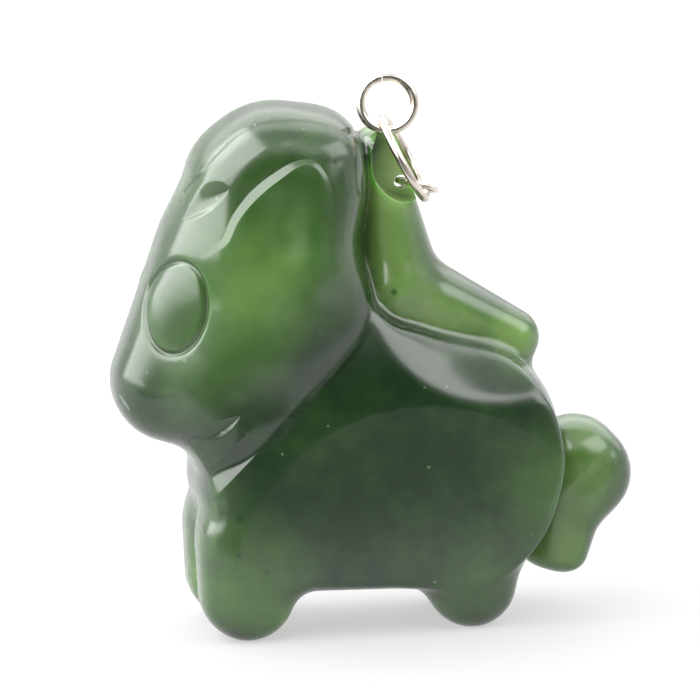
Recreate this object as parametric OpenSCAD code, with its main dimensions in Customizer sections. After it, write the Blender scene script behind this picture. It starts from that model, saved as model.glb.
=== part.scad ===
// A pendant carved from one piece of jade as a chubby standing horse, hung on three jump rings.
// The horse faces -X and stands on z = 0. Its thickness runs along Y, and y = 0 halves it.

/* [Stone] */
// Thickness of the stone across the flanks
stone_thickness = 13.8; // [12:0.2:14]
// Edge length of the facets that the carved surface is built from
facet = 0.9; // [0.85:0.05:1.2]

/* [Engraving] */
// Width of the engraved lines
line_width = 0.5; // [0.4:0.05:0.7]
// How deep the engraved lines go, as a share of their width
line_depth = 0.5; // [0.35:0.05:0.6]

/* [Drilled hole] */
// Diameter of the hole drilled through the mane
hole_d = 0.9; // [0.8:0.05:1]
// Thickness of the mane where it is thinned round the hole
tab_thickness = 1.0; // [0.8:0.1:1]

/* [Jump rings] */
// Wire of the top ring and of the link ring
ring_wire = 0.56; // [0.5:0.02:0.6]
// Wire of the ring that goes through the hole
hole_ring_wire = 0.42; // [0.36:0.02:0.44]
// Diameter of the top ring, from wire middle to wire middle
top_ring_d = 3.44; // [3.4:0.02:3.48]
// Diameter of the link ring, from wire middle to wire middle
link_ring_d = 5.8; // [5.76:0.02:5.84]
// Diameter of the hole ring, from wire middle to wire middle
hole_ring_d = 2.5; // [2.48:0.02:2.54]
// Width of the cut where the two ends of a ring meet
seam_gap = 0.06; // [0.04:0.02:0.1]

/* [Hidden] */
jade = [0.25, 0.42, 0.24];
silver = [0.86, 0.84, 0.8];

// The carved form is a blend of rounded lobes. In the side view each lobe is a bar with round ends
// from (x1, z1) to (x2, z2). Columns: x1, z1, x2, z2, the radius at each end, the half thickness at
// each end, the distance from the middle plane, and how square the cross-section is (2 is round).
flank_lobes = [
    [-5.7, 7.1, 3.8, 7.8, 4.5, 5.4, 6.9, 6.9, 0, 3.4],
    [3.8, 8.1, 6.5, 8.1, 5.1, 4.4, 6.9, 6.7, 0, 3.4],
    [-8.3, 5.9, -8.6, 2.8, 3.5, 2.9, 3.4, 3.0, 3.5, 2.2],
    [5.8, 6.0, 5.5, 2.7, 3.3, 2.8, 3.4, 3.0, 3.5, 2.2],
    [0.6, 10.8, 6.9, 10.9, 6.3, 4.9, 6.9, 6.7, 0, 2.5],
    [6.6, 13.8, 8.1, 13.6, 2.9, 2.7, 5.0, 4.6, 0, 2.2],
    [-6.6, 10.8, -7.8, 7.6, 3.7, 3.6, 5.6, 5.2, 0, 2.2],
    [2.0, 12.1, -1.9, 20.8, 5.4, 3.7, 6.2, 4.8, 0, 2.2],
    [2.1, 15.6, 6.7, 14.6, 3.8, 3.2, 4.4, 4.2, 0, 2],
    [-4.3, 13.8, -1.5, 15.0, 2.6, 3.0, 5.6, 5.4, 0, 2],
];
throat_lobes = [[-7.6, 15.2, -9.5, 9.5, 3.4, 2.2, 6.2, 5.0, 0, 2.2]];
head_lobes = [
    [-5.1, 28.1, -6.6, 21.0, 5.8, 6.2, 5.8, 6.8, 0, 2.2],
    [-3.2, 29.3, -3.0, 20.9, 3.9, 3.3, 5.0, 6.0, 0, 2.2],
    [-7.0, 25.2, -12.7, 16.3, 6.0, 3.6, 6.1, 4.8, 0, 2.8],
    [-6.7, 20.0, -7.1, 19.2, 5.8, 5.8, 6.9, 6.9, 0, 2.3],
];
mane_lobes = [
    [0.9, 30.4, 2.2, 23.1, 1.5, 2.7, 2.4, 3.2, 0, 2],
    [2.4, 21.7, 9.3, 17.8, 2.8, 1.7, 3.2, 2.4, 0, 2],
];
tail_lobes = [
    [13.2, 9.1, 13.4, 8.6, 3.0, 2.9, 3.4, 3.3, 0, 2],
    [12.7, 7.2, 12.2, 3.9, 2.5, 1.5, 3.2, 2.6, 0, 2],
    [10.9, 7.0, 10.9, 4.4, 1.7, 1.6, 2.2, 2.2, 0, 2],
];
// How far neighbouring lobes of a group melt together, and how far one group melts into the next
body_blend = 1.3;
small_blend = 1.1;
throat_seam = 0.8;
group_seam = 0.6;

// Above this arc on the flank the body leans in towards the back, which leaves a soft ridge
arc_centre = [2.4, 2.4];
arc_radius = 12.5;
arc_lean = 0.35;
arc_softness = 0.4;

// Engraved lines on both sides, as (x, z) points in the side view
eye_centre = [-12.7, 21.7];
eye_size = [1.9, 3.2];
forelock_line = [[-1.4, 32.5], [-4.0, 32.9], [-6.7, 32.6], [-8.5, 31.6], [-10.5, 29.9], [-12.3, 27.6]];
ear_line = [[-11.3, 25.0], [-10.3, 26.0], [-8.9, 26.5], [-8.3, 28.0], [-6.9, 29.6], [-4.5, 30.8],
    [-2.9, 29.4], [-3.2, 27.6], [-3.3, 26.0]];
mouth_line = [[-16.0, 15.0], [-15.8, 15.5], [-15.4, 16.0]];

// The mane is thinned on both sides by a round scoop, and the hole goes through the thin tab
scoop_centre = [3.1, 30.0];
scoop_radius = 2.7;
scoop_start = 0.5;
hole_centre = [2.55, 28.35];

// How the rings hang: the hole ring dips away from the hole, the link ring slopes more steeply
// through it, and the top ring stands nearly square to the front. Each turn is about X, Y and Z, and
// each seam is an angle round its ring.
hole_ring_rest = [2.4, 28.4];
hole_ring_turn = [-12, 19.5, 0];
hole_ring_seam = 255;
link_ring_centre = [2.7, -1.2, 30.02];
link_ring_turn = [0, 63.5, -8];
link_ring_seam = 60;
top_ring_centre = [1.75, -1.2, 33.6];
top_ring_turn = [80, 0, -7];
top_ring_seam = 100;

// The box that the facets are worked out in
low = [-18.1, 0, -1.7];
high = [17.5, 8.8, 35.4];
designed_thickness = 13.8;
squeeze = designed_thickness / stone_thickness;
half_thickness = designed_thickness / 2;
far = 1000;
cut_box = [40, 20, 5];

function smooth_min(a, b, k) =
    let (h = max(k - abs(a - b), 0) / k)
    min(a, b) - h * h * k / 4;

function smooth_max(a, b, k) = -smooth_min(-a, -b, k);

// Distance, near enough, from a point to a lobe: negative inside it
function lobe_distance(p, s) =
    let (d = [s[2] - s[0], s[3] - s[1]])
    let (length = norm(d))
    let (q = [p.x - s[0], p.z - s[1]])
    let (slope = (s[4] - s[5]) / length)
    let (back = abs(cross(q, d)) / length * slope / sqrt(1 - slope * slope))
    let (h = max(0, min(1, (q * d / length - back) / length)))
    let (r = s[4] + (s[5] - s[4]) * h)
    let (t = s[6] + (s[7] - s[6]) * h)
    let (side = norm(q - h * d) / r)
    let (across = abs(abs(p.y) * squeeze - s[8]) / t)
    (pow(pow(side, s[9]) + pow(across, s[9]), 1 / s[9]) - 1) * min(r, t);

function group_distance(p, lobes, blend, i = 0, so_far = far) =
    i == len(lobes) ? so_far :
    group_distance(p, lobes, blend, i + 1, smooth_min(so_far, lobe_distance(p, lobes[i]), blend));

function body_distance(p) =
    let (above = norm([p.x, p.z] - arc_centre) - arc_radius)
    let (leaning = (abs(p.y) * squeeze - half_thickness + above * arc_lean) / sqrt(1 + arc_lean * arc_lean))
    smooth_max(group_distance(p, flank_lobes, body_blend), leaning, arc_softness);

function stone_distance(p) =
    let (a = smooth_min(body_distance(p), group_distance(p, throat_lobes, small_blend), throat_seam))
    let (b = smooth_min(a, group_distance(p, head_lobes, small_blend), group_seam))
    let (c = smooth_min(b, group_distance(p, mane_lobes, small_blend), group_seam))
    smooth_min(c, group_distance(p, tail_lobes, small_blend), group_seam);

// Half thickness of the stone at a place in the side view, found by halving the interval
halvings = 12;
function half_width(x, z, inner = 0, outer = 8, n = halvings) =
    let (middle = (inner + outer) / 2)
    n == 0 ? middle :
    stone_distance([x, middle, z]) < 0 ? half_width(x, z, middle, outer, n - 1) :
    half_width(x, z, inner, middle, n - 1);

// Turns the blended form into a closed skin of triangles: one corner in each grid cell that the
// surface crosses, and two triangles across each grid edge that it crosses
module carved_skin() {
    nx = ceil((high.x - low.x) / facet);
    ny = ceil(high.y / facet);
    nz = ceil((high.z - low.z) / facet);
    rows = 2 * ny;
    half = [for (i = [0:nx]) [for (j = [0:ny]) [for (k = [0:nz])
        stone_distance([low.x + i * facet, j * facet, low.z + k * facet])]]];
    value = [for (i = [0:nx]) [for (j = [0:rows]) half[i][abs(j - ny)]]];

    function place(i, j, k) = [low.x + i * facet, (j - ny) * facet, low.z + k * facet];
    function crosses(a, b) = (a < 0) != (b < 0);
    function cut(i, j, k, way, a, b) =
        crosses(a, b) ? [place(i, j, k) + way * facet * a / (a - b)] : [];
    function mean(list) = [for (p = list) 1] * list / len(list);

    cells = [for (i = [0:nx - 1]) for (j = [0:rows - 1]) for (k = [0:nz - 1])
        let (a = value[i][j][k])
        let (b = value[i + 1][j][k])
        let (c = value[i][j + 1][k])
        let (d = value[i + 1][j + 1][k])
        let (e = value[i][j][k + 1])
        let (f = value[i + 1][j][k + 1])
        let (g = value[i][j + 1][k + 1])
        let (h = value[i + 1][j + 1][k + 1])
        min(a, b, c, d, e, f, g, h) >= 0 || max(a, b, c, d, e, f, g, h) < 0 ? 0 :
        mean(concat(
            cut(i, j, k, [1, 0, 0], a, b), cut(i, j + 1, k, [1, 0, 0], c, d),
            cut(i, j, k + 1, [1, 0, 0], e, f), cut(i, j + 1, k + 1, [1, 0, 0], g, h),
            cut(i, j, k, [0, 1, 0], a, c), cut(i + 1, j, k, [0, 1, 0], b, d),
            cut(i, j, k + 1, [0, 1, 0], e, g), cut(i + 1, j, k + 1, [0, 1, 0], f, h),
            cut(i, j, k, [0, 0, 1], a, e), cut(i + 1, j, k, [0, 0, 1], b, f),
            cut(i, j + 1, k, [0, 0, 1], c, g), cut(i + 1, j + 1, k, [0, 0, 1], d, h)))];
    rank = [for (n = 0, count = 0; n < len(cells); count = count + (cells[n] == 0 ? 0 : 1), n = n + 1)
        count];
    corners = [for (c = cells) if (c != 0) c];

    function corner(i, j, k) = rank[(i * rows + j) * nz + k];
    function patch(a, b, c, d, outward) =
        outward ? [[a, c, b], [a, d, c]] : [[a, b, c], [a, c, d]];

    triangles = [for (i = [1:nx - 1]) for (j = [1:rows - 1]) for (k = [1:nz - 1])
        let (a = value[i][j][k])
        each concat(
            crosses(a, value[i + 1][j][k]) ? patch(corner(i, j - 1, k - 1), corner(i, j, k - 1),
                corner(i, j, k), corner(i, j - 1, k), a < 0) : [],
            crosses(a, value[i][j + 1][k]) ? patch(corner(i - 1, j, k - 1), corner(i - 1, j, k),
                corner(i, j, k), corner(i, j, k - 1), a < 0) : [],
            crosses(a, value[i][j][k + 1]) ? patch(corner(i - 1, j - 1, k), corner(i, j - 1, k),
                corner(i, j, k), corner(i - 1, j, k), a < 0) : [])];
    polyhedron(corners, triangles);
}

// A smooth curve through hand-placed points, and the same points laid on the stone's near side
function bend(a, b, c, d, t) =
    (2 * b + (c - a) * t + (2 * a - 5 * b + 4 * c - d) * t * t + (3 * b - a - 3 * c + d) * t * t * t) / 2;
function curve(points, steps) =
    let (last = len(points) - 1)
    [for (i = [0:last - 1]) for (n = [0:steps - 1])
        bend(points[max(i - 1, 0)], points[i], points[i + 1], points[min(i + 2, last)], n / steps),
    points[last]];
function on_stone(points) = [for (p = points) [p.x, -half_width(p.x, p.y), p.y]];

// A round bar swept along points, used to cut the engraved lines
bar_sides = 6;
module bar(points, radius, closed) {
    n = len(points);
    function at(i) = points[closed ? (i + n) % n : max(0, min(n - 1, i))];
    rings = [for (i = [0:n - 1])
        let (along = at(i + 1) - at(i - 1))
        let (side = cross(along, [0, 1, 0]))
        let (out = cross(side, along))
        each [for (s = [0:bar_sides - 1])
            points[i] + radius * (cos(s * 360 / bar_sides) * side / norm(side)
                + sin(s * 360 / bar_sides) * out / norm(out))]];
    walls = [for (i = [0:closed ? n - 1 : n - 2]) for (s = [0:bar_sides - 1])
        let (a = i * bar_sides + s)
        let (b = i * bar_sides + (s + 1) % bar_sides)
        let (c = (i + 1) % n * bar_sides + (s + 1) % bar_sides)
        let (d = (i + 1) % n * bar_sides + s)
        each [[a, b, c], [a, c, d]]];
    ends = closed ? [] : [
        [for (s = [bar_sides - 1:-1:0]) s],
        [for (s = [0:bar_sides - 1]) (n - 1) * bar_sides + s]];
    polyhedron(rings, concat(walls, ends));
}

module engraved(points, closed = false) {
    lift = line_width * (line_depth - 0.5);
    laid = on_stone(points);
    translate([0, lift, 0]) bar(laid, line_width / 2, closed);
}

module line_cutters() {
    eye_steps = 28;
    eye = [for (n = [0:eye_steps - 1])
        let (turn = n * 360 / eye_steps)
        eye_centre + [eye_size.x * cos(turn), eye_size.y * sin(turn)]];
    engraved(eye, closed = true);
    engraved(curve(forelock_line, 4));
    engraved(curve(ear_line, 3));
    engraved(mouth_line);
}

// The round scoop on one side of the tab, from the head's back edge to the mane's back edge
module scoop() {
    intersection() {
        translate([scoop_centre.x, tab_thickness / 2, scoop_centre.y]) rotate([-90, 0, 0])
            cylinder(h = high.y, r = scoop_radius, $fn = 56);
        translate([scoop_start, 0, 0]) cube([high.x, 2 * high.y, high.z]);
    }
}

module drilled_hole() {
    translate([hole_centre.x, high.y, hole_centre.y]) rotate([90, 0, 0])
        cylinder(h = 2 * high.y, d = hole_d, $fn = 24);
}

module horse() {
    color(jade)
    resize([0, 0, 0])
    difference() {
        carved_skin();
        translate([-cut_box.x / 2, -cut_box.y / 2, -cut_box.z]) cube(cut_box);
        line_cutters();
        mirror([0, 1, 0]) line_cutters();
        scoop();
        mirror([0, 1, 0]) scoop();
        drilled_hole();
    }
}

// A ring of round wire whose two ends meet at a narrow cut
module jump_ring(ring_d, wire_d, seam_at) {
    seam_angle = seam_gap / (ring_d / 2) * 180 / PI;
    rotate([0, 0, seam_at + seam_angle / 2])
    rotate_extrude(angle = 360 - seam_angle, $fn = 72)
        translate([ring_d / 2, 0]) circle(d = wire_d, $fn = 24);
}

// The wire crosses the middle plane at its resting place in the hole, a little off the hole's centre
module hole_ring() {
    color(silver)
    translate([hole_ring_rest.x, 0, hole_ring_rest.y])
    rotate(hole_ring_turn)
    translate([hole_ring_d / 2, 0, 0])
        jump_ring(hole_ring_d, hole_ring_wire, hole_ring_seam);
}

module link_ring() {
    color(silver)
    translate(link_ring_centre) rotate(link_ring_turn) jump_ring(link_ring_d, ring_wire, link_ring_seam);
}

module top_ring() {
    color(silver)
    translate(top_ring_centre) rotate(top_ring_turn) jump_ring(top_ring_d, ring_wire, top_ring_seam);
}

horse();
hole_ring();
link_ring();
top_ring();
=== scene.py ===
import math

import bpy
import numpy as np
from mathutils import Matrix, Vector


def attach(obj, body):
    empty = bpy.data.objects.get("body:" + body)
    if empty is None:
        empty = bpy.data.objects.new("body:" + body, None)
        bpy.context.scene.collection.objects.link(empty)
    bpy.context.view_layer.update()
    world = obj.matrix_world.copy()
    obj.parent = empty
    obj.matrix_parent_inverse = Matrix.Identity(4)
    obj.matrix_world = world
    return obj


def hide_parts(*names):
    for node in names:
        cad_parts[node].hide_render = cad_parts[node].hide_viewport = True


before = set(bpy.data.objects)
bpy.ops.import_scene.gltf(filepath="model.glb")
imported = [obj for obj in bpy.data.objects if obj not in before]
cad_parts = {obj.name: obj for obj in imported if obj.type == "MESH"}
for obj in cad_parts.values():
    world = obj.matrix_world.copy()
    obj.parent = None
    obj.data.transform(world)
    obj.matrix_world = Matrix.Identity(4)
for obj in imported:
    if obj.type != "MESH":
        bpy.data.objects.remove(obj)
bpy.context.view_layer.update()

# A small horse carved in jade, hung on three silver jump rings.
mm = 0.001  # lengths in the dictionaries below are in millimetres, as on the carver's drawing

# Where the camera stands. The stone's cuts are placed as this camera sees them.
studio = {
    "middle": (-1.06, 0.0, 17.52),  # the point at the middle of the picture
    "azimuth": -7,  # these three in degrees
    "elevation": 11,
    "roll": 2,
    "distance": 1000,
    "viewWidth": 44.8,
    "picture": 700,  # pixels across, 0.064 mm each at the stone
    "sensor": 36,
    "farthest": 20000,  # the camera sees no farther than this
    "floorSize": 3000,
}


def viewAxes():
    turn = math.radians(studio["azimuth"])
    tilt = math.radians(studio["elevation"])
    roll = math.radians(studio["roll"])
    level = np.array([math.cos(turn), math.sin(turn), 0])
    ahead = np.array([-math.sin(turn) * math.cos(tilt), math.cos(turn) * math.cos(tilt), -math.sin(tilt)])
    rise = np.cross(level, ahead)
    right = level * math.cos(roll) - rise * math.sin(roll)
    up = rise * math.cos(roll) + level * math.sin(roll)
    return right, up, ahead


viewRight, viewUp, viewAhead = viewAxes()

# The carved form: rounded lobes that melt together. Columns: x1, z1, x2, z2 of the lobe's middle line
# in the side view, radius at each end, half thickness at each end, distance from the middle plane,
# squareness of the section.
stone = {
    "flank": [
        [-5.7, 7.2, 3.8, 7.95, 4.4, 5.35, 7.6, 8.6, 0, 4.0],
        [3.8, 8.1, 6.5, 8.1, 5.1, 4.4, 8.4, 12.0, 0, 3.4],
        [-8.3, 5.8, -8.7, 2.95, 3.5, 3.05, 3.5, 3.2, 3.5, 3.0],  # front leg
        [6.1, 6.0, 5.75, 2.75, 3.35, 2.9, 3.4, 3.0, 3.5, 2.4],  # back leg
        [0.6, 10.8, 6.9, 10.9, 6.3, 4.9, 9.5, 12.0, 0, 4.0],
        [6.6, 13.8, 8.2, 13.5, 3.3, 3.2, 8.5, 8.0, 0, 3.0],  # rump
        [-6.5, 10.8, -7.7, 7.6, 3.6, 3.5, 7.4, 6.6, 0, 3.4],
        [2.0, 12.1, -2.6, 19.2, 5.4, 3.3, 9.0, 7.5, 0, 3.4],  # neck
        [2.1, 15.6, 6.7, 14.6, 3.8, 3.2, 7.5, 7.0, 0, 3.0],
        [-4.3, 13.8, -1.5, 15.0, 2.6, 3.0, 8.5, 8.5, 0, 3.4],
    ],
    "throat": [[-7.6, 15.2, -9.4, 9.5, 3.4, 2.2, 8.0, 6.6, 0, 3.0]],
    "head": [
        [-5.4, 28.3, -7.0, 21.0, 5.5, 5.8, 6.2, 6.9, 0, 2.7],
        [-2.2, 30.8, -3.4, 24.5, 2.0, 2.0, 4.8, 6.6, 0, 2.6],
        [-8.2, 22.8, -12.8, 16.2, 5.6, 3.7, 6.2, 4.8, 0, 2.6],  # face and muzzle
        [-4.7, 20.7, -8.4, 16.1, 5.0, 5.0, 6.3, 6.8, 0, 3.8],  # jaw
        [-8.4, 28.9, -9.2, 25.8, 2.45, 2.75, 4.6, 5.2, 0, 2.4],  # forehead
    ],
    "mane": [
        [1.0, 30.4, 1.95, 22.2, 1.55, 2.85, 2.7, 3.6, 0, 2.1],
        [1.9, 21.8, 9.3, 17.8, 2.65, 1.85, 3.6, 2.0, 0, 2.1],
    ],
    "tail": [
        [13.2, 9.25, 13.6, 8.8, 3.15, 3.15, 3.4, 3.3, 0, 2.6],
        [12.7, 7.2, 12.3, 3.9, 2.3, 1.55, 3.2, 2.6, 0, 2.6],
        [10.9, 7.0, 10.9, 4.4, 1.7, 1.6, 2.2, 2.2, 0, 2.6],
    ],
    # how softly the lobes of one group melt together, and how softly each group meets the rest
    "blend": {"flank": 1.3, "throat": 1.0, "head": 1.7, "mane": 0.7, "tail": 1.0},
    "seam": {"throat": 0.5, "head": 0.3, "mane": 1.2, "tail": 0.2},
    # the flank is flat up to the shoulder's arc, and above it the back leans in
    "halfThickness": 6.9,
    "flatRound": 0.4,
    "shoulderCentre": (2.4, 2.4),
    "shoulderRadius": 12.5,
    "shoulderLean": 0.14,
    "shoulderCurve": 0.0234,
    "backCentre": (8.0, 23.1),  # inside this circle the back slopes away more and more
    "backRadius": 8.3,
    "backSlope": 0.45,
    "backCurve": 0.14,
    "backRound": 0.7,
    "chestTop": (-5.23, 15.25),  # in front of the line between these the chest is one long bevel
    "chestFoot": (-10.45, 10.07),
    "chestBack": -4.6,  # x where the bevel ends, behind the jaw
    "chestSlope": 0.42,
    "chestCurve": 0.03,
    "chinBlend": 1.5,  # how softly the jaw runs into the chest in front of that line
    "chinRamp": 1.4,  # reached this far in front of the line
    "chinFrom": -6.3,  # and from this x forwards, over this run
    "chinRun": 2.2,
    "scoop": (3.1, 30.0, 2.7),  # x, z, radius of the round cut that thins the mane at its top
    "scoopStart": 0.5,
    "tabHalf": 0.5,  # half of what the scoop leaves
    "hole": (2.55, 28.35, 0.45),  # x, z, radius
}


# In these functions p is an array of points, one to a row, and f is how far each lies outside the form.
def smoothMin(a, b, k):
    h = np.maximum(k - np.abs(a - b), 0) / k
    return np.minimum(a, b) - h * h * k / 4


def lobe(p, row):
    x1, z1, x2, z2, r1, r2, t1, t2, side, square = row
    dx = x2 - x1
    dz = z2 - z1
    length = math.hypot(dx, dz)
    slope = (r1 - r2) / length
    along = ((p[:, 0] - x1) * dx + (p[:, 2] - z1) * dz) / length
    off = np.abs((p[:, 0] - x1) * dz - (p[:, 2] - z1) * dx) / length
    h = np.clip((along - off * slope / math.sqrt(1 - slope * slope)) / length, 0, 1)
    r = r1 + (r2 - r1) * h
    t = t1 + (t2 - t1) * h
    away = np.hypot(p[:, 0] - x1 - h * dx, p[:, 2] - z1 - h * dz) / r
    across = np.abs(np.abs(p[:, 1]) - side) / t
    return ((away ** square + across ** square) ** (1 / square) - 1) * np.minimum(r, t)


def lobeGroup(p, name):
    f = None
    for row in stone[name]:
        g = lobe(p, row)
        f = g if f is None else smoothMin(f, g, stone["blend"][name])
    return f


def aheadOfChest(p):
    # how far a point lies in front of the chest's crease
    x1, z1 = stone["chestTop"]
    x2, z2 = stone["chestFoot"]
    return ((p[:, 0] - x1) * (z2 - z1) - (p[:, 2] - z1) * (x2 - x1)) / math.hypot(x2 - x1, z2 - z1)


def flankDrop(p):
    # how far the side of the body lies in from the flank's flat
    x = p[:, 0]
    z = p[:, 2]
    cx, cz = stone["shoulderCentre"]
    up = np.maximum(np.hypot(x - cx, z - cz) - stone["shoulderRadius"], 0)
    bx, bz = stone["backCentre"]
    w = stone["backRound"]
    back = stone["backRadius"] - np.hypot(x - bx, z - bz)
    back = np.where(back > w, back, np.maximum(back + w, 0) ** 2 / (4 * w))
    chest = np.clip(np.minimum(aheadOfChest(p), stone["chestBack"] - x), 0, None)
    return (up * (stone["shoulderLean"] + up * stone["shoulderCurve"])
            + back * (stone["backSlope"] + back * stone["backCurve"])
            + chest * (stone["chestSlope"] + chest * stone["chestCurve"]))


def underChin(p):
    # 1 where the jaw runs smoothly into the chest, 0 where a crease parts them
    ahead = np.clip(aheadOfChest(p) / stone["chinRamp"], 0, 1)
    return ahead * np.clip((stone["chinFrom"] - p[:, 0]) / stone["chinRun"], 0, 1)


def drilled(p, f):
    # the mane's top is thinned to a tab, and the hole goes through it
    sx, sz, sr = stone["scoop"]
    scoop = np.maximum(np.hypot(p[:, 0] - sx, p[:, 2] - sz) - sr, stone["tabHalf"] - np.abs(p[:, 1]))
    scoop = np.maximum(scoop, stone["scoopStart"] - p[:, 0])
    hx, hz, hr = stone["hole"]
    hole = np.hypot(p[:, 0] - hx, p[:, 2] - hz) - hr
    return np.maximum(f, -np.minimum(scoop, hole))


def stoneField(p):
    # negative inside the stone, in millimetres near its skin
    seam = stone["seam"]
    f = smoothMin(lobeGroup(p, "flank"), lobeGroup(p, "throat"), seam["throat"])
    side = stone["halfThickness"] - flankDrop(p) - np.abs(p[:, 1])
    f = -smoothMin(-f, side, stone["flatRound"])
    f = smoothMin(f, lobeGroup(p, "mane"), seam["mane"])
    f = smoothMin(f, lobeGroup(p, "head"), seam["head"] + underChin(p) * stone["chinBlend"])
    f = smoothMin(f, lobeGroup(p, "tail"), seam["tail"])
    return np.maximum(drilled(p, f), -p[:, 2])  # flat under the feet


# What the carver cut into the skin once the form was done. Each cut follows a line of places in the
# picture, in its pixels, laid onto the skin and mirrored onto the other side. Sizes are in millimetres.
cuts = {
    # a ledge falls from its line by the bevel's width and climbs back over the spread, to the line's left
    # columns: place across, place down, depth, bevel, spread
    "ear": [
        (203, 262, 0.0, 0.4, 2.0),
        (214, 253, 0.07, 0.45, 2.0),
        (228, 243, 0.13, 0.5, 2.0),
        (238, 222, 0.22, 0.55, 1.9),
        (251, 205, 0.30, 0.6, 1.7),
        (268, 189, 0.34, 0.6, 1.6),
        (285, 176, 0.33, 0.55, 1.6),
        (296, 168, 0.26, 0.45, 1.6),
        (308, 164, 0.18, 0.35, 1.5),
        (318, 170, 0.13, 0.3, 1.3),
        (325, 182, 0.09, 0.3, 1.1),
        (329, 200, 0.04, 0.3, 1.0),
        (330, 225, 0.0, 0.3, 1.0),
    ],
    "forelock": [
        (180, 204, 0.02, 0.20, 0.6),
        (184, 190, 0.07, 0.20, 0.7),
        (200, 172, 0.07, 0.22, 0.8),
        (216, 154, 0.06, 0.26, 0.9),
        (232, 138, 0.05, 0.30, 1.0),
        (248, 127, 0.04, 0.34, 1.0),
        (263, 121, 0.04, 0.36, 1.0),
        (293, 119, 0.04, 0.36, 1.0),
        (314, 121, 0.03, 0.30, 0.9),
        (339, 127, 0.01, 0.20, 0.6),
    ],
    # a gouge is a leaf-shaped hollow: its line, half width, depth, and how far to its left it is deepest
    "leaf": {"line": [(182, 220), (207, 199), (233, 185)], "half": 1.05, "depth": 0.3, "deepest": -0.2},
    "temple": {"line": [(339, 131), (351, 132), (363, 131)], "half": 0.45, "depth": 0.15, "deepest": 0.0},
    "chin": {"line": [(189, 438), (214, 433), (241, 416)], "half": 0.6, "depth": 0.22, "deepest": -0.1},
    "nape": {"line": [(362, 172), (363, 187), (364, 203)], "half": 0.35, "depth": 0.3, "deepest": 0.0},
    "mouth": {"line": [(118, 393), (124, 402), (130, 411)], "half": 0.16, "depth": 0.2, "deepest": 0.0},
    # the eye is a round groove about a low dome, which rises over a few widths of the groove
    "eye": {"centre": (175, 308), "size": (31, 46.5), "lean": 6, "width": 0.2, "depth": 0.2, "dome": 0.12,
            "rise": 4},
}
gouges = ("leaf", "temple", "chin", "nape", "mouth")
cutReach = {"ledge": 3, "eye": 4, "near": 1}  # how far about its line a cut is measured
outOfReach = 1000.0  # stands for any distance beyond that
# the skin is looked for between these parts of the camera's distance, in even steps and then by halving
sight = {"from": 0.98, "to": 1.01, "steps": 121, "halvings": 14}


def seenOnSkin(places):
    # the points of the skin that the camera sees at places of the picture
    places = np.array(places, float)
    scale = studio["viewWidth"] / studio["picture"]
    across = (places[:, 0] - studio["picture"] / 2) * scale
    rise = (studio["picture"] / 2 - places[:, 1]) * scale
    start = np.array(studio["middle"]) - viewAhead * studio["distance"]
    way = viewAhead * studio["distance"] + np.outer(across, viewRight) + np.outer(rise, viewUp)
    steps = np.linspace(sight["from"], sight["to"], sight["steps"])
    line = start + way[:, None] * steps[None, :, None]
    f = stoneField(line.reshape(-1, 3)).reshape(len(places), -1)
    missed = f.min(1) > 0
    first = np.where(missed, f.argmin(1), np.argmax(f < 0, 1))
    far = steps[first]
    near = steps[np.maximum(first - 1, 0)]
    for _ in range(sight["halvings"]):
        half = (near + far) / 2
        inside = stoneField(start + way * half[:, None]) < 0
        far = np.where(inside, half, far)
        near = np.where(inside, near, half)
    return start + way * np.where(missed, steps[first], far)[:, None]


def curveThrough(rows, steps=6):
    # smooth line through listed rows
    pts = np.array(rows, float)
    full = np.vstack([2 * pts[0] - pts[1], pts, 2 * pts[-1] - pts[-2]])
    out = []
    for i in range(len(pts) - 1):
        a, b, c, d = full[i:i + 4]
        for t in np.arange(steps) / steps:
            out.append((2 * b + (c - a) * t + (2 * a - 5 * b + 4 * c - d) * t * t
                        + (3 * b - a - 3 * c + d) * t ** 3) / 2)
    out.append(pts[-1])
    return np.array(out)


def nearSide(p):
    # the stone is the same on both sides
    return np.stack([p[:, 0], -np.abs(p[:, 1]), p[:, 2]], -1)


def measureLine(p, path, reach):
    # distance to the line, below 0 on its right as the camera sees it, and the place along it from 0 to 1
    close = np.all((p > path.min(0) - reach) & (p < path.max(0) + reach), 1)
    q = p[close]
    best = np.full(len(q), outOfReach)
    hand = np.ones(len(q))
    at = np.zeros(len(q))
    count = len(path) - 1
    for i in range(count):
        d = path[i + 1] - path[i]
        w = q - path[i]
        h = np.clip((w @ d) / (d @ d), 0, 1)
        away = np.linalg.norm(w - h[:, None] * d, axis=1)
        nearer = away < best - 1e-9
        best = np.where(nearer, away, best)
        left = (d @ viewRight) * (w @ viewUp) - (d @ viewUp) * (w @ viewRight)
        hand = np.where(nearer, np.where(left > 0, 1, -1), hand)
        at = np.where(nearer, (i + h) / count, at)
    s = np.full(len(p), outOfReach)
    s[close] = best * hand
    u = np.zeros(len(p))
    u[close] = at
    return s, u


def ledgeDepth(p, cut):
    s, u = measureLine(p, cut["path"], cutReach["ledge"])
    depth, bevel, spread = (np.interp(u, cut["along"], cut["sizes"][:, i]) for i in range(3))
    return np.where(s > 0, depth * np.clip(np.minimum(s / bevel, 1 - (s - bevel) / spread), 0, 1), 0)


def gougeDepth(p, cut, tip=0.05, roundness=1.5):
    s, u = measureLine(p, cut["path"], cut["half"])
    leaf = 4 * u * (1 - u)  # 1 at the middle of its line, 0 at both ends
    v = s / (cut["half"] * np.maximum(leaf, tip))
    low = cut["deepest"]
    wall = np.clip(np.minimum((v + 1) / (1 + low), (1 - v) / (1 - low)), 0, 1)
    return cut["depth"] * leaf * np.sin(wall * math.pi / 2) ** roundness


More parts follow.
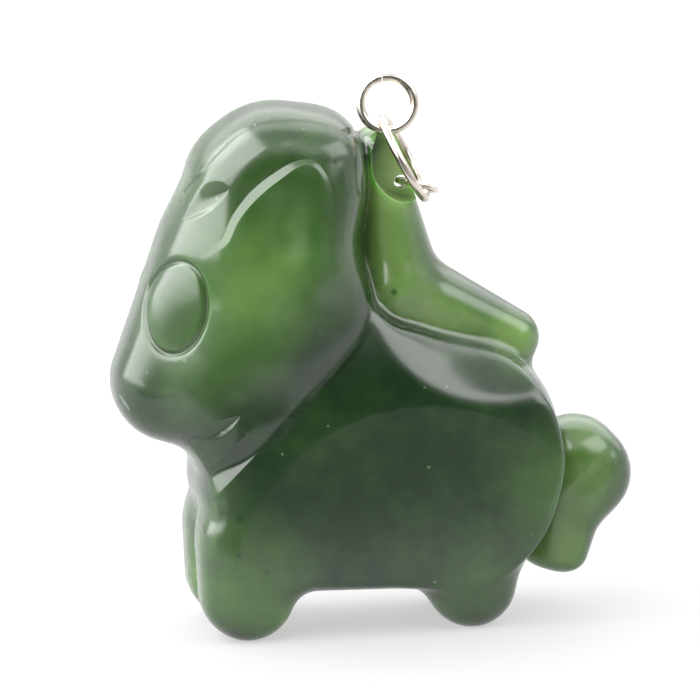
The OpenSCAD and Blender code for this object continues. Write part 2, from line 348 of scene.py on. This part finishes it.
def eyeDepth(p, cut):
    s = measureLine(p, cut["path"], cutReach["eye"])[0]
    inside = np.maximum(s, 0)
    dome = cut["dome"] * (1 - np.exp(-(inside / cut["width"] / cut["rise"]) ** 2))
    return cut["depth"] * np.exp(-(s / cut["width"]) ** 2) - dome * (s < outOfReach)


def cutDepth(p):
    p = nearSide(p)
    depth = np.maximum(ledgeDepth(p, laid["ear"]), ledgeDepth(p, laid["forelock"]))
    for name in gouges:
        depth = np.maximum(depth, gougeDepth(p, laid[name]))
    return depth + eyeDepth(p, laid["eye"])


def nearCut(p):
    # distance from the nearest cut's line
    p = nearSide(p)
    away = np.full(len(p), outOfReach)
    for cut in laid.values():
        away = np.minimum(away, np.abs(measureLine(p, cut["path"], cutReach["near"])[0]))
    return away


def eyeRing(cut):
    # the eye's outline in the picture, a leaning oval
    turn = np.radians(np.arange(0, 361, 6))
    lean = math.radians(cut["lean"])
    across = cut["size"][0] * np.cos(turn)
    down = cut["size"][1] * np.sin(turn)
    return np.stack([cut["centre"][0] + across * math.cos(lean) - down * math.sin(lean),
                     cut["centre"][1] + across * math.sin(lean) + down * math.cos(lean)], -1)


def layCuts():
    # puts each cut's line onto the skin
    done = {}
    for name, cut in cuts.items():
        if name == "eye":
            done[name] = {**cut, "path": seenOnSkin(eyeRing(cut)[::-1])}
        elif name in gouges:
            done[name] = {**cut, "path": seenOnSkin(curveThrough(cut["line"]))}
        else:
            rows = curveThrough(cut)
            if name == "forelock":
                rows = rows[::-1]  # this ledge falls towards the face
            sizes = np.maximum(rows[:, 2:], [0, 0.05, 0.05])  # no bevel or spread of 0
            along = np.linspace(0, 1, len(rows))
            done[name] = {"path": seenOnSkin(rows[:, :2]), "sizes": sizes, "along": along}
    return done


# How the form becomes a skin of triangles, which are small only where it bends
mesher = {
    "low": (-17.4, -8.6, -1.2),  # the first grid fills the box from here
    "high": (17.4, 8.6, 35.2),
    "step": 0.36,  # first grid
    "passes": 4,
    "shortestEdge": 0.07,
    "bendAngle": 8,  # degrees between neighbouring faces before an edge is split
    "mostFaces": 190000,
    "cutEdge": 0.13,  # edges longer than this are split where a cut meets them
    "cutNear": 0.8,  # a cut meets an edge if it lies nearer than this share of the edge's length
    "mostMove": 0.3,  # a point slides no farther than this at a time
    "leastSlope": 0.05,  # and the form's slope is never taken as flatter than this
    "evenRounds": 60,  # how much the painted glow is evened out over the skin
    # the stone behind the skin is felt in steps down to the deepest; this sets the painted glow, which
    # runs from thick to thin
    "glow": {"step": 1.5, "deepest": 13, "soft": 0.8, "thin": 3.5, "thick": 11.5},
}


def gridSkin(step):
    # closed skin of triangles: one corner in each grid cell that the surface crosses
    low = np.array(mesher["low"])
    high = np.array(mesher["high"])
    counts = np.ceil((high - low) / step).astype(int) + 1
    axes = [low[i] + step * np.arange(counts[i]) for i in range(3)]
    grid = np.stack(np.meshgrid(*axes, indexing="ij"), -1)
    f = stoneField(grid.reshape(-1, 3)).reshape(counts)
    inside = f < 0
    total = np.zeros(tuple(counts - 1) + (3,))
    hits = np.zeros(tuple(counts - 1))
    for axis in range(3):
        a = np.take(f, range(counts[axis] - 1), axis)
        b = np.take(f, range(1, counts[axis]), axis)
        crossed = (a < 0) != (b < 0)
        t = np.where(crossed, a / np.where(crossed, a - b, 1), 0)
        at = np.take(grid, range(counts[axis] - 1), axis).copy()
        at[..., axis] += t * step
        others = [i for i in range(3) if i != axis]
        for du in (0, 1):
            for dv in (0, 1):
                pick = [slice(None)] * 3
                pick[others[0]] = slice(du, counts[others[0]] - 1 + du)
                pick[others[1]] = slice(dv, counts[others[1]] - 1 + dv)
                pick = tuple(pick)
                total += at[pick] * crossed[pick][..., None]
                hits += crossed[pick]
    used = hits > 0
    number = np.full(used.shape, -1)
    number[used] = np.arange(used.sum())
    corners = total[used] / hits[used][:, None]
    faces = []
    for axis in range(3):
        others = [i for i in range(3) if i != axis]
        a = np.take(inside, range(counts[axis] - 1), axis)
        b = np.take(inside, range(1, counts[axis]), axis)
        i, j, k = np.nonzero(a != b)
        at = np.stack([i, j, k], -1)
        keep = np.all([(at[:, o] > 0) & (at[:, o] < counts[o] - 1) for o in others], 0)
        at = at[keep]
        outward = a[a != b][keep]
        quad = []
        for du, dv in ((1, 1), (0, 1), (0, 0), (1, 0)):
            cell = at.copy()
            cell[:, others[0]] -= du
            cell[:, others[1]] -= dv
            quad.append(number[tuple(cell.T)])
        quad = np.stack(quad, -1)
        flip = outward if axis != 1 else ~outward
        quad = np.where(flip[:, None], quad, quad[:, ::-1])
        faces.append(quad)
    quads = np.vstack(faces)
    # each four-sided face is halved along its shorter diagonal
    d1 = np.linalg.norm(corners[quads[:, 0]] - corners[quads[:, 2]], axis=1)
    d2 = np.linalg.norm(corners[quads[:, 1]] - corners[quads[:, 3]], axis=1)
    shorter = (d1 < d2)[:, None]
    first = np.where(shorter, quads[:, [0, 1, 2]], quads[:, [0, 1, 3]])
    second = np.where(shorter, quads[:, [0, 2, 3]], quads[:, [1, 2, 3]])
    return corners, np.vstack([first, second])


def slopeOf(field, p, reach=0.02):
    return np.stack([(field(p + reach * np.eye(3)[i]) - field(p - reach * np.eye(3)[i])) / (2 * reach)
                     for i in range(3)], -1)


def settle(p, rounds=5):
    # slides points onto the skin
    for _ in range(rounds):
        g = slopeOf(stoneField, p)
        f = stoneField(p)
        size = np.maximum((g * g).sum(1), mesher["leastSlope"])
        move = np.clip(f / size, -mesher["mostMove"], mesher["mostMove"])
        p = p - g * move[:, None]
    return p


def unit(v):
    return v / np.maximum(np.linalg.norm(v, axis=1), 1e-9)[:, None]


def carve(p):
    # sinks the cuts into the skin, and turns its normals to suit
    n = unit(slopeOf(stoneField, p))
    d = slopeOf(cutDepth, p)
    d = d - n * (d * n).sum(1)[:, None]
    return p - n * cutDepth(p)[:, None], unit(n + d)


def thinness(p, normals):
    # 0 where much stone lies behind the skin, towards 1 where light would come through; it sets the
    # painted glow
    look = mesher["glow"]
    solid = np.ones(len(p))
    through = np.zeros(len(p))
    for depth in np.arange(look["step"], look["deepest"], look["step"]):
        solid *= np.clip(-stoneField(p - normals * depth) / look["soft"], 0, 1)
        through += solid * look["step"]
    return 1 - np.clip((through - look["thin"]) / (look["thick"] - look["thin"]), 0, 1)


def splitEdges(p, faces, marked, edges, sides):
    # cuts the marked edges in half and shares each face out between the new points
    middle = np.full(len(edges), -1)
    middle[marked] = len(p) + np.arange(marked.sum())
    fresh = (p[edges[marked, 0]] + p[edges[marked, 1]]) / 2
    m = middle[sides]
    count = (m >= 0).sum(1)
    out = [faces[count == 0]]
    for turn in range(3):
        a, b, c = (np.roll(faces, -turn, 1)[:, i] for i in range(3))
        ab, bc, ca = (np.roll(m, -turn, 1)[:, i] for i in range(3))
        one = (count == 1) & (ab >= 0)
        out.append(np.stack([a, ab, c], -1)[one])
        out.append(np.stack([ab, b, c], -1)[one])
        two = (count == 2) & (ca < 0)
        out.append(np.stack([ab, b, bc], -1)[two])
        out.append(np.stack([a, ab, bc], -1)[two])
        out.append(np.stack([a, bc, c], -1)[two])
        if turn == 0:
            three = count == 3
            out.append(np.stack([a, ab, ca], -1)[three])
            out.append(np.stack([ab, b, bc], -1)[three])
            out.append(np.stack([ca, bc, c], -1)[three])
            out.append(np.stack([ab, bc, ca], -1)[three])
    return np.vstack([p, fresh]), np.vstack(out)


def refinedSkin():
    p, faces = gridSkin(mesher["step"])
    p = settle(p)
    for n in range(mesher["passes"]):
        done, normals = carve(p)
        pairs = np.sort(np.vstack([faces[:, [0, 1]], faces[:, [1, 2]], faces[:, [2, 0]]]), 1)
        edges, back = np.unique(pairs, axis=0, return_inverse=True)
        sides = back.reshape(3, -1).T
        length = np.linalg.norm(done[edges[:, 0]] - done[edges[:, 1]], axis=1)
        bend = (normals[edges[:, 0]] * normals[edges[:, 1]]).sum(1)
        sharp = bend < math.cos(math.radians(mesher["bendAngle"]))
        close = nearCut((p[edges[:, 0]] + p[edges[:, 1]]) / 2) < length * mesher["cutNear"]
        marked = (sharp & (length > mesher["shortestEdge"])) | (close & (length > mesher["cutEdge"]))
        if len(faces) + 2 * marked.sum() > mesher["mostFaces"]:
            bend = np.where(close, bend - 1, bend)  # edges at a cut come first
            worst = np.sort(bend[marked])[(mesher["mostFaces"] - len(faces)) // 2]
            marked &= bend < worst
        p, faces = splitEdges(p, faces, marked, edges, sides)
        p = settle(p, 3)
        print("skin pass", n + 1, "faces", len(faces))
    done, normals = carve(p)
    through = thinness(p, unit(slopeOf(stoneField, p)))
    ends = np.vstack([faces[:, [0, 1]], faces[:, [1, 2]], faces[:, [2, 0]]])
    count = np.bincount(ends[:, 0], minlength=len(p))
    for _ in range(mesher["evenRounds"]):
        around = np.bincount(ends[:, 0], through[ends[:, 1]], len(p)) / count
        through = (through + around) / 2
    return done, faces, normals, through


def meshFrom(name, points, faces, normals):
    mesh = bpy.data.meshes.new(name)
    mesh.vertices.add(len(points))
    mesh.vertices.foreach_set("co", (points * mm).astype(np.float32).ravel())
    mesh.loops.add(len(faces) * 3)
    mesh.loops.foreach_set("vertex_index", faces.astype(np.int32).ravel())
    mesh.polygons.add(len(faces))
    mesh.polygons.foreach_set("loop_start", np.arange(0, len(faces) * 3, 3, dtype=np.int32))
    mesh.update(calc_edges=True)
    mesh.validate()
    mesh.shade_smooth()
    mesh.normals_split_custom_set_from_vertices(normals.tolist())
    piece = bpy.data.objects.new(name, mesh)
    bpy.context.scene.collection.objects.link(piece)
    return piece


# Small helpers for the materials and the room's light
def newMaterial(name):
    material = bpy.data.materials.new(name)
    material.use_nodes = True
    nodes = material.node_tree.nodes
    return material, nodes, material.node_tree.links, nodes["Principled BSDF"]


def mathNode(nodes, links, operation, *values):
    node = nodes.new("ShaderNodeMath")
    node.operation = operation
    for i, value in enumerate(values):
        if isinstance(value, (int, float)):
            node.inputs[i].default_value = value
        else:
            links.new(value, node.inputs[i])
    return node.outputs[0]


def dotNode(nodes, links, way, axis):
    node = nodes.new("ShaderNodeVectorMath")
    node.operation = "DOT_PRODUCT"
    links.new(way, node.inputs[0])
    node.inputs[1].default_value = axis
    return node.outputs["Value"]


def fade(nodes, links, value, low, high):
    # 0 at low, 1 at high, smooth between
    node = nodes.new("ShaderNodeMapRange")
    node.interpolation_type = "SMOOTHSTEP"
    node.inputs["From Min"].default_value = low
    node.inputs["From Max"].default_value = high
    links.new(value, node.inputs["Value"])
    return node.outputs["Result"]


def between(nodes, links, value, low, high):
    # low where the value is 0, high where it is 1
    node = nodes.new("ShaderNodeMapRange")
    node.inputs["To Min"].default_value = low
    node.inputs["To Max"].default_value = high
    links.new(value, node.inputs["Value"])
    return node.outputs["Result"]


def noiseNode(nodes, links, place, scale, detail):
    node = nodes.new("ShaderNodeTexNoise")
    node.inputs["Scale"].default_value = scale
    node.inputs["Detail"].default_value = detail
    links.new(place, node.inputs["Vector"])
    return node.outputs["Fac"]


def mixColour(nodes, links, share, first, second):
    node = nodes.new("ShaderNodeMix")
    node.data_type = "RGBA"
    links.new(share, node.inputs["Factor"])
    for name, value in (("A", first), ("B", second)):
        socket = [s for s in node.inputs if s.name == name and s.type == "RGBA"][0]
        if isinstance(value, tuple):
            socket.default_value = (*value, 1)
        else:
            links.new(value, socket)
    return [s for s in node.outputs if s.type == "RGBA"][0]


jadeLook = {
    "shades": [(0.0, (0.006, 0.025, 0.006)), (0.35, (0.052, 0.122, 0.025)), (0.7, (0.170, 0.290, 0.075)),
               (1.0, (0.280, 0.385, 0.150))],  # from deep to pale
    "cloud": (150, 4, 0.28),  # broad clouds: marks per metre, fineness and strength
    "vein": (700, 4, 0.16),  # and fine mottling
    "wave": (260, 3, 0.00002),  # the polish isn't quite even: marks per metre, fineness, height in metres
    "dull": (900, 3),  # nor is its shine
    "roughness": (0.17, 0.24),
    "ior": 1.72,
    "glowRadius": (0.35, 1.0, 0.3),
    "glowScale": 0.0015,
    "specks": (620, 0.07, 0.45),  # white specks: cells per metre, size, how few
    "speckColour": (0.35, 0.45, 0.30),
    "speckStrength": 0.35,
    # dark spots as the camera sees them: place across, place down, radius in millimetres, strength
    "spots": [(394, 292, 0.30, 0.5), (240, 519, 0.35, 0.7), (239, 556, 0.25, 0.5), (267, 573, 0.30, 0.5),
              (215, 499, 0.30, 0.5), (339, 535, 0.35, 0.4), (233, 488, 0.2, 0.4), (330, 470, 0.3, 0.3)],
    "spotCore": 0.3,  # share of the radius that is fully dark
    "paintedGlowShare": 0.75,  # painted glow: how much paler the colour is painted where light would come through thin stone
    "darkest": 0.02,
    # paler or deeper zones of the colour, mostly painted light, painted glow and painted shade: x, z,
    # reach in millimetres, paler by
    "zones": [
        (-6.0, 27.0, 9, 0.30),  # crown, painted light: paler where the head is brightly lit
        (-10.0, 20.0, 8, 0.25),  # face, painted light: paler where the head is brightly lit
        (-9.0, 5.0, 7, 0.20),  # front legs, painted glow: paler where the thin legs let light through
        (5.5, 3.0, 5, 0.15),  # back legs, painted glow: paler where the thin legs let light through
        (9.5, 10.0, 6, 0.16),  # rump
        (-6.5, 22.5, 7, 0.20),  # cheek, painted light: paler where the head is brightly lit
        (-3.5, 10.5, 5, -0.10),  # shoulder
        (-2.5, 16.5, 5, -0.22),  # painted shade: the dark band above it, darker as it lies in shade; the next zone carries it on
        (1.5, 17.5, 4, -0.15),
        (1.0, 5.0, 5, -0.08),  # belly, painted shade on the underside
        (2.8, 28.8, 3.0, 0.35),  # the thin top of the mane, painted glow where light comes through
        (0.3, 31.0, 1.5, -0.5),  # painted shade in the crease behind the crown
        (4.0, 22.5, 5, 0.15),  # mane, painted glow where the thin mane lets light through
        (9.5, 18.0, 3, 0.30),  # the mane's lower end, painted glow
    ],
}


def mottledShade(nodes, links, place):
    # the skin's shade, which holds painted glow and painted light and shade, with clouds, mottling and
    # dark spots added
    shade = nodes.new("ShaderNodeAttribute")
    shade.attribute_name = "shade"
    shade = shade.outputs["Fac"]
    for name in ("cloud", "vein"):
        scale, detail, strength = jadeLook[name]
        mark = mathNode(nodes, links, "SUBTRACT", noiseNode(nodes, links, place, scale, detail), 0.5)
        shade = mathNode(nodes, links, "ADD", shade, mathNode(nodes, links, "MULTIPLY", mark, strength))
    for across, down, radius, strength in jadeLook["spots"]:
        away = nodes.new("ShaderNodeVectorMath")
        away.operation = "DISTANCE"
        links.new(place, away.inputs[0])
        away.inputs[1].default_value = seenOnSkin([(across, down)])[0] * mm
        spot = fade(nodes, links, away.outputs["Value"], radius * mm, radius * mm * jadeLook["spotCore"])
        kept = mathNode(nodes, links, "SUBTRACT", 1.0, mathNode(nodes, links, "MULTIPLY", spot, strength))
        shade = mathNode(nodes, links, "MULTIPLY", shade, kept)
    return shade


def speckShare(nodes, links, place):
    # a few cells of the stone hold a small white speck
    scale, size, few = jadeLook["specks"]
    cells = nodes.new("ShaderNodeTexVoronoi")
    cells.inputs["Scale"].default_value = scale
    links.new(place, cells.inputs["Vector"])
    split = nodes.new("ShaderNodeSeparateColor")
    links.new(cells.outputs["Color"], split.inputs[0])
    speck = fade(nodes, links, cells.outputs["Distance"], size, size * 0.5)
    chosen = mathNode(nodes, links, "GREATER_THAN", split.outputs[0], few)
    speck = mathNode(nodes, links, "MULTIPLY", speck, chosen)
    return mathNode(nodes, links, "MULTIPLY", speck, jadeLook["speckStrength"])


def jadeMaterial():
    look = jadeLook
    material, nodes, links, shader = newMaterial("polishedJade")
    place = nodes.new("ShaderNodeTexCoord").outputs["Object"]
    ramp = nodes.new("ShaderNodeValToRGB")
    while len(ramp.color_ramp.elements) < len(look["shades"]):
        ramp.color_ramp.elements.new(0.5)
    for stop, (position, colour) in zip(ramp.color_ramp.elements, look["shades"]):
        stop.position = position
        stop.color = (*colour, 1)
    links.new(mottledShade(nodes, links, place), ramp.inputs["Fac"])
    specks = speckShare(nodes, links, place)
    green = mixColour(nodes, links, specks, ramp.outputs["Color"], look["speckColour"])
    links.new(green, shader.inputs["Base Color"])
    scale, detail, height = look["wave"]
    bump = nodes.new("ShaderNodeBump")
    bump.inputs["Distance"].default_value = height
    links.new(noiseNode(nodes, links, place, scale, detail), bump.inputs["Height"])
    links.new(bump.outputs["Normal"], shader.inputs["Normal"])
    shine = noiseNode(nodes, links, place, *look["dull"])
    links.new(between(nodes, links, shine, *look["roughness"]), shader.inputs["Roughness"])
    shader.inputs["IOR"].default_value = look["ior"]
    shader.inputs["Subsurface Weight"].default_value = 1
    shader.inputs["Subsurface Radius"].default_value = look["glowRadius"]
    shader.inputs["Subsurface Scale"].default_value = look["glowScale"]
    return material


def toneAndPaintedLightOf(points, through):
    # 0 for the deepest green, 1 for the palest: painted glow where the stone is thin, and painted light
    # and shade in the zones
    # painted glow: thin stone is painted paler
    shade = through * jadeLook["paintedGlowShare"]
    for x, z, reach, paler in jadeLook["zones"]:
        away = np.hypot(points[:, 0] - x, points[:, 2] - z) / reach
        shade = shade + paler * np.clip(1 - away * away, 0, 1) ** 2
    return np.clip(shade, jadeLook["darkest"], 1)


silverLook = {
    "colour": (0.74, 0.68, 0.60),
    "tarnish": (0.42, 0.36, 0.29),
    "roughness": (0.14, 0.30),
    "marks": (900, 5),  # per metre, and their fineness
    "wornEdge": (0.52, 0.68),  # bright below the first, tarnished above the second
}


def silverMaterial():
    look = silverLook
    material, nodes, links, shader = newMaterial("polishedSilver")
    place = nodes.new("ShaderNodeTexCoord").outputs["Object"]
    noise = noiseNode(nodes, links, place, *look["marks"])
    worn = fade(nodes, links, noise, *look["wornEdge"])
    links.new(mixColour(nodes, links, worn, look["colour"], look["tarnish"]), shader.inputs["Base Color"])
    links.new(between(nodes, links, noise, *look["roughness"]), shader.inputs["Roughness"])
    shader.inputs["Metallic"].default_value = 1
    return material


print("placing the cuts")
laid = layCuts()

print("carving the stone")
points, faces, normals, through = refinedSkin()
horse = meshFrom("carvedHorse", points, faces, normals)

print("polishing the jade")
# the shade attribute carries the painted glow and the painted light and shade
shade = horse.data.attributes.new("shade", "FLOAT", "POINT")
shade.data.foreach_set("value", toneAndPaintedLightOf(points, through).astype(np.float32))
horse.data.materials.append(jadeMaterial())
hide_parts("horse")
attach(horse, "root")

print("polishing the rings")
silver = silverMaterial()
for name in ("hole_ring", "link_ring", "top_ring"):
    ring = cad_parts[name]
    for slot in ring.material_slots:
        slot.material = silver


table = {
    "colour": 0.17,
    "glow": 0.52,  # the table glows a little, so that shadows stay pale
    "grey": (0.05, 0.42),  # in front of the picture it is greyer, most of all on the left
    "greyEdge": (-0.050, -0.031),  # where the grey ends towards the stone, in metres
    "greySide": (-0.012, 0.035),  # and where it turns paler to the right
    "roughness": 0.7,
}


def floorPiece():
    mesh = bpy.data.meshes.new("floor")
    half = studio["floorSize"] * mm / 2
    corners = [(-half, -half, 0), (half, -half, 0), (half, half, 0), (-half, half, 0)]
    mesh.from_pydata(corners, [], [(0, 1, 2, 3)])
    floor = bpy.data.objects.new("floor", mesh)
    bpy.context.scene.collection.objects.link(floor)
    material, nodes, links, shader = newMaterial("paleTable")
    look = table
    place = nodes.new("ShaderNodeSeparateXYZ")
    links.new(nodes.new("ShaderNodeTexCoord").outputs["Object"], place.inputs[0])
    low, high = look["grey"]
    side = fade(nodes, links, place.outputs["X"], *look["greySide"])
    grey = mathNode(nodes, links, "ADD", mathNode(nodes, links, "MULTIPLY", side, high - low), low)
    white = fade(nodes, links, place.outputs["Y"], *look["greyEdge"])
    rest = mathNode(nodes, links, "MULTIPLY", mathNode(nodes, links, "SUBTRACT", 1.0, grey), white)
    level = mathNode(nodes, links, "ADD", grey, rest)
    for part, socket in (("colour", "Base Color"), ("glow", "Emission Strength")):
        links.new(mathNode(nodes, links, "MULTIPLY", level, look[part]), shader.inputs[socket])
    shader.inputs["Roughness"].default_value = look["roughness"]
    shader.inputs["Emission Color"].default_value = (1, 1, 1, 1)
    mesh.materials.append(material)


# Each softbox is a bright window in the room's light: the way to its middle, half width and half height
# as tangents, softness of its edge, brightness
room = {
    "white": 1.0,
    "grey": 0.28,
    "greyEdge": (-0.75, -0.25),  # the side that the camera is on is darker
    "high": (0.42, 0.75, 1.1),  # and brighter overhead: from this rise to that, by so much
    "leftBox": {"way": (-0.77, -0.10, 0.62), "half": (1.15, 0.56), "soft": 0.13, "power": 4.5},
    "rightBox": {"way": (0.64, -0.40, 0.66), "half": (0.46, 0.25), "soft": 0.14, "power": 2.8},
    "backBox": {"way": (0.10, 0.70, 0.70), "half": (0.90, 0.35), "soft": 0.30, "power": 1.5},
    "frontShade": {"way": (0.02, -0.97, 0.22), "half": (0.22, 0.13), "soft": 0.12, "power": -0.27},
}


def softWindow(nodes, links, way, box):
    ahead = Vector(box["way"]).normalized()
    side = Vector((0, 0, 1)).cross(ahead).normalized()
    up = ahead.cross(side)
    facing = dotNode(nodes, links, way, ahead)
    shown = mathNode(nodes, links, "GREATER_THAN", facing, 0.05)  # not on the room's other side too
    for axis, half in zip((side, up), box["half"]):
        place = mathNode(nodes, links, "DIVIDE", dotNode(nodes, links, way, axis), facing)
        place = mathNode(nodes, links, "ABSOLUTE", place)
        edge = fade(nodes, links, place, half + box["soft"], half)
        shown = mathNode(nodes, links, "MULTIPLY", shown, edge)
    return mathNode(nodes, links, "MULTIPLY", shown, box["power"])


def studioRoom():
    world = bpy.data.worlds.new("room")
    bpy.context.scene.world = world
    world.use_nodes = True
    nodes = world.node_tree.nodes
    links = world.node_tree.links
    way = nodes.new("ShaderNodeTexCoord").outputs["Generated"]
    split = nodes.new("ShaderNodeSeparateXYZ")
    links.new(way, split.inputs[0])
    low, high, more = room["high"]
    front = mathNode(nodes, links, "MULTIPLY", fade(nodes, links, split.outputs["Z"], low, high), more)
    front = mathNode(nodes, links, "ADD", front, room["grey"])
    back = fade(nodes, links, split.outputs["Y"], *room["greyEdge"])
    light = mathNode(nodes, links, "SUBTRACT", room["white"], front)
    light = mathNode(nodes, links, "MULTIPLY", light, back)
    light = mathNode(nodes, links, "ADD", light, front)
    for name in ("leftBox", "rightBox", "backBox", "frontShade"):
        light = mathNode(nodes, links, "ADD", light, softWindow(nodes, links, way, room[name]))
    links.new(light, nodes["Background"].inputs["Strength"])
    nodes["Background"].inputs["Color"].default_value = (1, 1, 1, 1)


def cameraPiece():
    turn = Matrix([Vector(viewRight), Vector(viewUp), Vector(-viewAhead)]).transposed().to_4x4()
    data = bpy.data.cameras.new("camera")
    data.sensor_width = studio["sensor"]
    data.lens = studio["sensor"] * studio["distance"] / studio["viewWidth"]
    data.clip_end = studio["farthest"] * mm
    camera = bpy.data.objects.new("camera", data)
    bpy.context.scene.collection.objects.link(camera)
    place = Vector(studio["middle"]) - Vector(viewAhead) * studio["distance"]
    camera.matrix_world = Matrix.Translation(place * mm) @ turn
    bpy.context.scene.camera = camera


print("laying the table, the light and the camera")
floorPiece()
studioRoom()
cameraPiece()
bpy.context.scene.view_settings.view_transform = "Standard"
